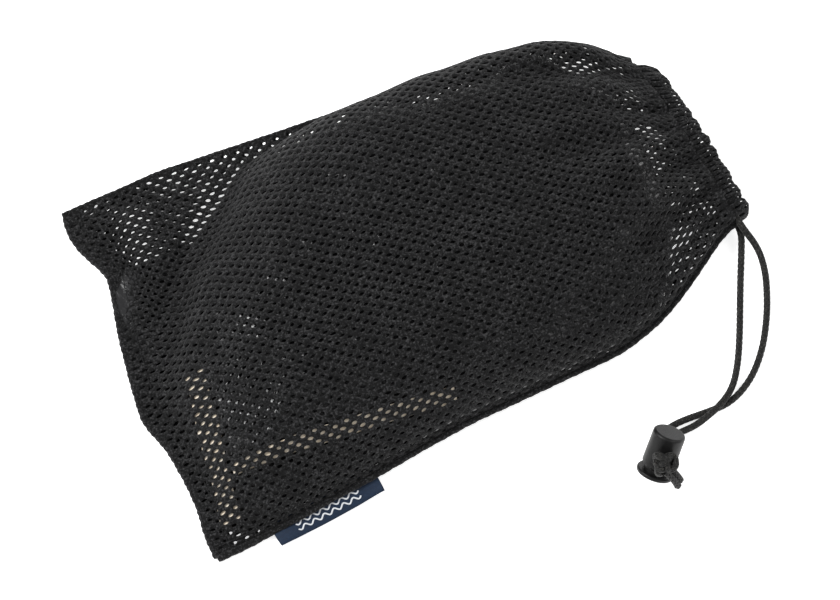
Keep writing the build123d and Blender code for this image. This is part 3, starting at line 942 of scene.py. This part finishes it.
def add_tails(material):
    """Two cut tails with a few frayed fibres at their ends."""
    rng = np.random.default_rng(31)
    start = in_lock(KNOT_PLACE[0] - 1.5, KNOT_PLACE[1] + 1.5, KNOT_PLACE[2] - 1.6)
    spread = np.array([1.0, 1.0, 0.0])
    parts = []
    for side in (-1, 1):
        route = [start + spread * side, start + np.array([2.8, -2.6, -4.0]) + spread * side,
                 start + np.array([4.4, -3.4, -11.5]) + spread * side * 0.95]
        line = spline_line("tail", route)
        way = (line[-1] - line[-3]) / np.linalg.norm(line[-1] - line[-3])
        flare = 1 + 0.12 * np.linspace(0, 1, len(line))[:, None] ** 4
        points, faces = braid(line, CORD_RADIUS * 0.97)
        middle = np.repeat(line, CORD_SIDES, axis=0)
        points[:-2] = middle + (points[:-2] - middle) * np.repeat(flare, CORD_SIDES, axis=0)
        parts.append((points, faces))
        for _ in range(34):
            angle, far = rng.uniform(0, TURN), rng.uniform(0.2, 1.35)
            across = np.cross(way, (math.cos(angle), math.sin(angle), 0.2))
            across /= np.linalg.norm(across)
            root = line[-2] + across * far
            reach = rng.uniform(0.4, 1.3)
            tip = root + way * reach + across * rng.uniform(-0.1, 0.35) * reach
            tip[2] = max(tip[2], 0.2)
            fibre = np.linspace(root, tip, 4)
            parts.append(tube(fibre, np.full((4, 5), rng.uniform(0.06, 0.13))))
    points, faces = join(parts)
    points[:, 2] = np.maximum(points[:, 2], 0.1)
    piece = mesh_piece("cut_tails", to_frame(points), faces, material)
    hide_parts("cord_tails")
    return piece


# -------- contents and trim

def height_map(grid):
    """The upper layer's height over a 1 mm raster in x and y."""
    xs = np.arange(-122.0, 136.0, 1.0)
    ys = np.arange(-78.0, 93.0, 1.0)
    rows_x = np.array([np.interp(ys, row[:, 1], row[:, 0]) for row in grid[::2]])
    rows_z = np.array([np.interp(ys, row[:, 1], row[:, 2]) for row in grid[::2]])
    table = np.array([np.interp(xs, rows_x[:, c], rows_z[:, c]) for c in range(len(ys))]).T

    def look(x, y):
        a = np.clip(x - xs[0], 0, len(xs) - 1.001)
        b = np.clip(y - ys[0], 0, len(ys) - 1.001)
        i, j = a.astype(int), b.astype(int)
        return between(table, i, j, i + 1, j + 1, a - i, b - j)

    return look


def add_bundle(height_of, material):
    """The wrapped contents: a crinkled film skin just under the cloth, flat underneath."""
    xs = np.linspace(FILM_START, FILM_END, 290)
    values = np.array(outline_at(xs)).T
    across = 170
    rings = []
    for x, (y_low, y_flap, y_high, height, edge) in zip(xs, values):
        end = min(x - FILM_START, FILM_END - x)
        taper = 1 - ramp(end, 0, 12)
        gap = 7 * ramp(x, 20, 45) * (1 - ramp(x, 70, 85)) + 16 * ramp(x, 92, 112)
        low = y_low + 3.2 + 9 * taper + 8 * ramp(x, 96, 114)
        high = min(max(y_flap, FILM_REACH), y_high - 2) - 3.5 - 9 * taper - gap
        turn = np.linspace(math.pi, 0, across)
        y = (low + high) / 2 + (high - low) / 2 * np.cos(turn)
        cloth = height_of(np.full(across, x), y)
        crinkle = 0.5 * noise(x, y, 7, 41) + 0.35 * noise(x + 0.4 * y, y, 3.2, 43)
        edge_drop = np.sin(turn) ** 0.25
        under = lower_corners((y_low, y_flap, y_high, height, edge))
        z = FILM_BASE + np.maximum(cloth - 3.1 + crinkle - FILM_BASE, 0.3) * edge_drop * (1 - 0.25 * taper)
        z = np.maximum(z, np.interp(y, under[:, 0], under[:, 1]) + FILM_GAP + 0.3)
        base_y = np.linspace(high, low, 40)[1:-1]
        base_z = np.maximum(np.interp(base_y, under[:, 0], under[:, 1]) + FILM_GAP, FILM_BASE)
        base = np.stack([np.full(38, x), base_y, base_z], 1)
        rings.append(np.concatenate([np.stack([np.full(across, x), y, z], 1), base]))
    rings = np.array(rings)
    centres = np.array([rings[0].mean(0), rings[-1].mean(0)])
    points = np.concatenate([rings.reshape(-1, 3), centres])
    piece = mesh_piece("wrapped_bundle", to_frame(points), tube_faces(*rings.shape[:2]), material)
    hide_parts("packed_bundle_lower", "packed_bundle_upper")


def add_card(name, node, centre, size, turn, height_of, material, seed):
    """A thin strip of card lying against the cloth's inner side."""
    along = np.linspace(-0.5, 0.5, 80) * size[0]
    wide = np.linspace(-0.5, 0.5, 12) * size[1]
    a, b = np.meshgrid(along, wide, indexing="ij")
    b = b * (1 + 0.12 * noise(a, 0 * a, 9, seed))
    angle = math.radians(turn)
    x = centre[0] + a * math.cos(angle) - b * math.sin(angle)
    y = centre[1] + a * math.sin(angle) + b * math.cos(angle)
    top = np.stack([x, y, height_of(x, y) - 0.85 + 0.12 * noise(x, y, 5, seed + 1)], -1)
    under = top - np.array([0, 0, 0.7])
    points, faces = slab(top, under)
    piece = mesh_piece(name, to_frame(points), faces, material)
    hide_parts(node)


def add_label(edge_line, materials):
    """A folded woven label standing out of the side seam, with a generic white wave woven in."""
    s = np.linspace(0, 1, 90)
    w = np.linspace(0, 1, 26)
    order = np.argsort(edge_line[:, 0])
    root_y = np.interp(LABEL_START + s * LABEL_LENGTH, edge_line[order, 0], edge_line[order, 1])
    root_z = np.interp(LABEL_START + s * LABEL_LENGTH, edge_line[order, 0], edge_line[order, 2])

    def surface(s_at, w_at, height):
        y = np.interp(s_at, s, root_y) + 3.4 - w_at * LABEL_PROUD
        z = np.interp(s_at, s, root_z) * (1 - w_at) + 1.0 * w_at
        # Known fault: w_at is below 0 in the root column, so its vertices are not numbers
        curl = 1.9 * ramp(s_at, 0.72, 1.0) * w_at**1.5 + 0.7 * ramp(1 - s_at, 0.8, 1.0) * w_at
        ripple = 0.35 * np.sin(TURN * 1.4 * s_at + 0.8) * w_at
        x = LABEL_START + s_at * LABEL_LENGTH + 1.3 * w_at + 0.5 * np.sin(w_at * 3) * (s_at - 0.5)
        return np.stack([x, y + 0 * z, np.maximum(z + curl + ripple, 0.5) + height], -1)

    a, b = np.meshgrid(s, w, indexing="ij")
    b = b - 0.12 * (b < 0.01)
    rounded = LABEL_THICK / 2 * np.clip(np.minimum(1, (1 - b) * 14), 0.25, 1)
    points, faces = slab(surface(a, b, rounded)[:, ::-1], surface(a, b, -rounded)[:, ::-1])
    uv = np.tile(np.stack([a[:, ::-1], b[:, ::-1]], -1).reshape(-1, 2), (2, 1))
    label = mesh_piece("woven_label", to_frame(points), faces, materials["label"], uv=uv)
    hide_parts("side_label")

    parts = []
    t = np.linspace(0.2, 0.8, 160)
    for shift in (0.0, 0.22):
        crest = 0.50 + shift + 0.07 * np.sin(TURN * 6.5 * (t - 0.2) / 0.6)
        line = surface(t, crest, LABEL_THICK / 2 + 0.05)
        parts.append(tube(line, np.full((len(t), 8), 0.34), tall=0.35))
    points, faces = join(parts)
    mark = mesh_piece("label_wave_mark", to_frame(points), faces, materials["mark"])


def edge_bead(name, line, radius, tall, notch, pitch, nodes, material):
    """A rolled cloth edge with small bumps where the knit's holes meet it."""
    steps = np.linalg.norm(np.diff(line, axis=0), axis=1)
    length = steps.sum()
    line = resample(line, int(length / 0.55))
    far = np.linspace(0, length, len(line))[:, None]
    bumps = 1 + notch * np.abs(np.sin(math.pi * far / pitch)) - notch / 2
    bumps = bumps * (1 + 0.12 * noise(far, far * 0, 14, 61))
    angle = (np.arange(14) * TURN / 14)[None]
    surface = radius * bumps * (1 + 0.06 * np.sin(3 * angle + far * 0.9))
    points, faces = tube(line, surface, tall)
    points[:, 2] = np.maximum(points[:, 2], FLOOR_GAP)
    piece = mesh_piece(name, to_frame(points), faces, material)
    if nodes:
        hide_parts(*nodes)


def add_stitches(name, node, line, ups, material):
    points, faces = stitch_row(line, ups)
    piece = mesh_piece(name, to_frame(points), faces, material)
    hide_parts(node)


def add_spring(material):
    """The coil spring in the lock, shorter when the plunger is pressed."""
    share = np.linspace(0, 1, 260)[:, None]
    turn = TURN * SPRING_TURNS * share
    line = in_lock(SPRING_RADIUS * np.cos(turn), SPRING_RADIUS * np.sin(turn),
                   SPRING_LOW + (SPRING_HIGH - SPRING_LOW) * share)
    points, faces = tube(line, np.full((len(line), 10), SPRING_WIRE))
    piece = mesh_piece("coil_spring", to_frame(points), faces, material, body="cord_lock")
    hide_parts("lock_spring")
    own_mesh(piece)
    return piece


def dress_node(name, material):
    """A better material on a CAD node that stays."""
    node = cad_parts[name]
    for slot in node.material_slots:
        slot.material = material
    if not node.material_slots:
        node.data.materials.append(material)


# -------- building it

add_camera()
add_studio()

cord = cord_material()
leg_a, path_a = cord_leg("drawcord_leg_a", LEG_A, "cord_leg_a", cord)
leg_b, path_b = cord_leg("drawcord_leg_b", LEG_B, "cord_leg_b", cord)
knot = add_knot(cord)
tails = add_tails(cord)
dress_node("drawcord_in_hem", cord)
plastic = plastic_material()
dress_node("lock_barrel", plastic)
dress_node("lock_plunger", plastic)
spring = add_spring(steel_material())

cloth = knit_material()
thread = thread_material()
upper_grid, upper_length = even_rows(layer(True))
lower_grid, lower_length = even_rows(layer(False))
upper_flat = (upper_length, FLAT_WIDTH)
lower_flat = (lower_length, LOWER_FLAT_WIDTH)
upper = cloth_piece("knit_upper", sampler(upper_grid, upper_flat), upper_flat, 11, cloth)
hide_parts("mesh_upper")
lower = cloth_piece("knit_lower", sampler(lower_grid, lower_flat), lower_flat, 12, cloth, sides=8,
                    stretch=LOWER_STRETCH, flip=True)
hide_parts("mesh_lower")

hem_flat = (HEM_ROUND, HEM_LONG)
hem_look = sampler(hem_grid(), hem_flat, wrap=True)
hem = cloth_piece("gathered_hem", hem_look, hem_flat, 13, cloth, wrap=True)
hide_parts("hem_channel")

# Edges, seam allowance and thread
edge_y = np.linspace(upper_grid[0, 0, 1] - 0.6, upper_grid[0, -1, 1] + 0.4, 300)
edge_x = blur(np.interp(edge_y, CLOSED_EDGE[:, 0], CLOSED_EDGE[:, 1]), 6.0)
closed_edge = np.stack([edge_x, edge_y, 1.5 + 0.5 * noise(edge_y, edge_y * 0, 16, 62)], 1)
side_edge = (upper_grid[:, 0] + lower_grid[:, 0]) / 2 + np.array([0, -1.1, 0])
fold_edge = (upper_grid[:, -1] + lower_grid[:, -1]) / 2
edge_bead("closed_end_edge", closed_edge, 1.35, 0.9, 0.24, 2.9, ["bottom_seam"], cloth)
edge_bead("side_seam_edge", side_edge, 1.5, 0.85, 0.10, 2.95, ["side_seam"], cloth)
edge_bead("fold_edge", fold_edge, 1.0, 0.9, 0.22, 2.95, [], cloth)

row_step = upper_length / (len(upper_grid) - 1)
rows = int(SEAM_WIDTH / row_step)
band = upper_grid[1:rows + 1, 1:-1:3] * 0.4 + lower_grid[1:rows + 1, 1:-1:3] * 0.6
points, faces = slab(band + np.array([0, 0, 0.25]), band - np.array([0, 0, 0.25]))
allowance = mesh_piece("seam_allowance", to_frame(points), faces, cloth)

upper_up = normals(upper_grid)
stitch_at = int(STITCH_INSET / row_step)
stitched = upper_grid + upper_up * STITCH_LIFT
add_stitches("closed_end_stitches", "bottom_stitching", stitched[stitch_at], upper_up[stitch_at], thread)
add_stitches("side_stitches", "side_stitching", stitched[:, STITCH_COLUMN], upper_up[:, STITCH_COLUMN],
             thread)
around = np.linspace(0.51, 0.995, 500) * HEM_LONG
seat = np.full(500, 0.40 * HEM_ROUND)
hem_line = hem_look(seat, around, 0.45)
hem_up = hem_look(seat, around, 1.45) - hem_line
add_stitches("hem_stitches", "hem_stitching", hem_line, hem_up, thread)

# Contents
height_of = height_map(upper_grid)
add_bundle(height_of, film_material())
card = card_material()
add_card("pale_card_end", "card_edge_end", (-100.0, -34.0), (66.0, 8.4), 80.5, height_of, card, 71)
add_card("pale_card_side", "card_edge_side", (-48.0, -52.4), (98.0, 5.6), -5, height_of, card, 75)
add_label(side_edge, {"label": label_material(), "mark": mark_material()})
